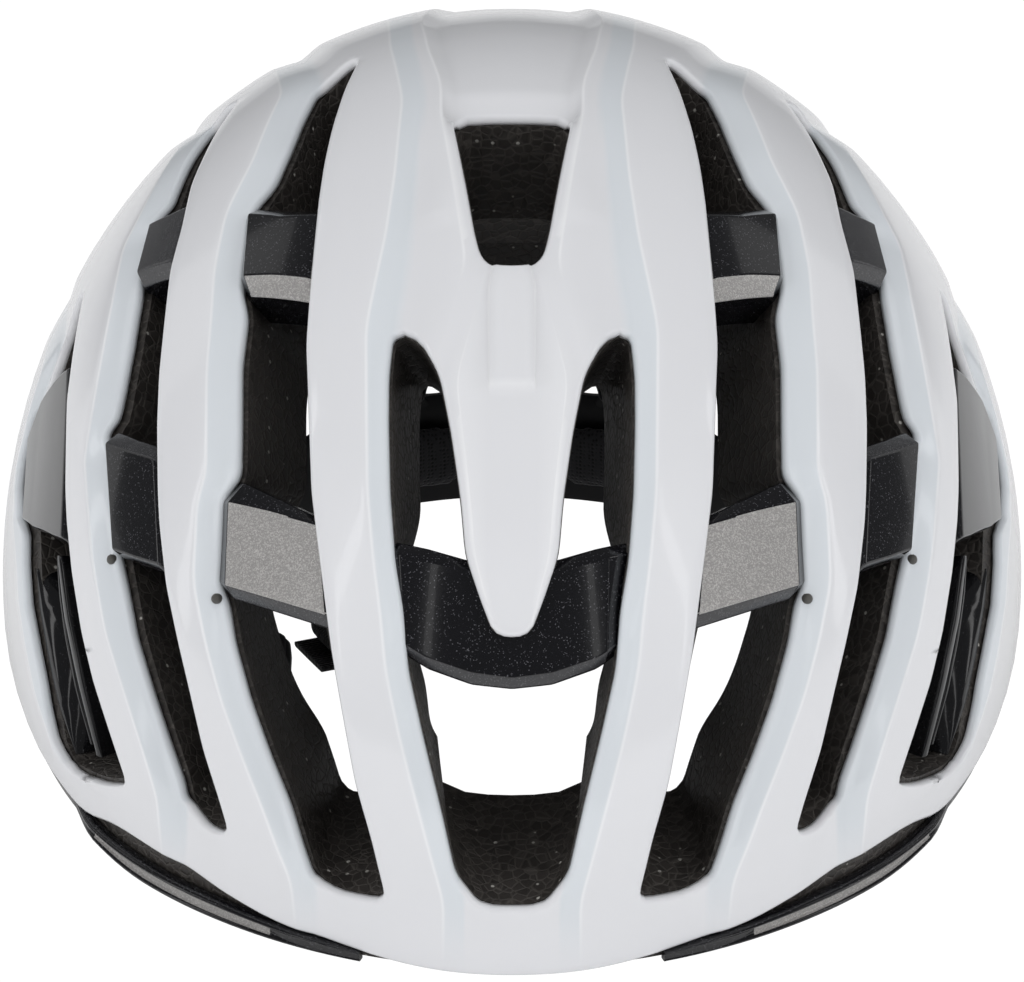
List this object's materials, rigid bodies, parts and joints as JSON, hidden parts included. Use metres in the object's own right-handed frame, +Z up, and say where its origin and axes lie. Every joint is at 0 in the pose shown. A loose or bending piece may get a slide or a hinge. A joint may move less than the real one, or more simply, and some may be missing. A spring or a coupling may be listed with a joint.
{
  "type": "cycling helmet",
  "caption": "White road cycling helmet with long ribs, black faceted bridges across its vents, a foam liner, a rear dial fit system and folded chin webbing.",
  "frame": {"origin": "on the table, under the middle of the helmet's bounding box", "axes": "+Z up, front of the helmet towards -Y, wearer's left towards +X"},
  "size_m": [0.208, 0.2684, 0.1395],
  "materials": {
    "white_shell": "gloss",
    "gloss_black": "gloss with fine metallic flake",
    "foam": "moulded bead foam",
    "nylon": "satin",
    "webbing": "woven",
    "padding": "knit over foam"
  },
  "bodies": {
    "helmet": {"outer_shell": "white_shell", "lower_shell": "gloss_black", "bridge_centre": "gloss_black", "bridge_front_left": "gloss_black", "bridge_front_right": "gloss_black", "bridge_upper_left": "gloss_black", "bridge_upper_right": "gloss_black", "bridge_mid_left": "gloss_black", "bridge_mid_right": "gloss_black", "bridge_high_left": "gloss_black", "bridge_high_right": "gloss_black", "bridge_side_left": "gloss_black", "bridge_side_right": "gloss_black", "side_fin_left": "gloss_black", "side_fin_right": "gloss_black", "eps_liner": "foam", "buckle_socket": "nylon", "strap_keeper": "nylon", "divider_left": "nylon", "divider_right": "nylon", "anchor_front_left": "nylon", "anchor_front_right": "nylon", "anchor_rear_left": "nylon", "anchor_rear_right": "nylon", "strap_front_left": "webbing", "strap_front_right": "webbing", "strap_rear_left": "webbing", "strap_rear_right": "webbing", "chin_strap_left": "webbing", "chin_strap_right": "webbing", "pad_brow": "padding", "chin_pad": "padding", "pad_crown_left": "padding", "pad_crown_right": "padding", "pad_side_left": "padding", "pad_side_right": "padding"},
    "fit_ring": {"cradle": "nylon", "dial_housing": "nylon", "fit_arm_left": "nylon", "fit_arm_right": "nylon", "temple_pin_left": "nylon", "temple_pin_right": "nylon", "cradle_pad_left": "padding", "cradle_pad_right": "padding"},
    "dial": {"dial_knob": "gloss_black", "dial_pinion": "nylon"},
    "rack_l": {"rack_left": "nylon"},
    "rack_r": {"rack_right": "nylon"},
    "plug": {"buckle_plug": "nylon"},
    "lever_l": {"divider_lever_left": "nylon"},
    "lever_r": {"divider_lever_right": "nylon"}
  },
  "joints": [
    {"name": "fit_height", "type": "hinge", "parent": "helmet", "child": "fit_ring", "pos_m": [0, -0.0415, 0.016], "axis": [1, 0, 0], "range_deg": [0, 5.5]},
    {"name": "dial_turn", "type": "hinge", "parent": "fit_ring", "child": "dial", "pos_m": [0, 0.101, 0.014], "axis": [0, 1, 0], "range_deg": [-70, 70]},
    {"name": "rack_left_slide", "type": "slide", "parent": "fit_ring", "child": "rack_l", "axis": [1, 0, 0], "range_m": [-0.0052, 0.0052]},
    {"name": "rack_right_slide", "type": "slide", "parent": "fit_ring", "child": "rack_r", "axis": [1, 0, 0], "range_m": [-0.0052, 0.0052]},
    {"name": "buckle_release", "type": "slide", "parent": "helmet", "child": "plug", "axis": [0.9121, 0.4099, 0], "range_m": [0, 0.009]},
    {"name": "lever_left_hinge", "type": "hinge", "parent": "helmet", "child": "lever_l", "pos_m": [0.04896, 0.04886, 0.0062], "axis": [0, 1, 0], "range_deg": [0, 70]},
    {"name": "lever_right_hinge", "type": "hinge", "parent": "helmet", "child": "lever_r", "pos_m": [-0.06264, 0.00499, 0.0062], "axis": [0, -1, 0], "range_deg": [0, 70]}
  ],
  "couplings": [
    {"joint": "rack_left_slide", "follows": "dial_turn", "m_per_rad": 0.0041},
    {"joint": "rack_right_slide", "follows": "dial_turn", "m_per_rad": -0.0041}
  ]
}
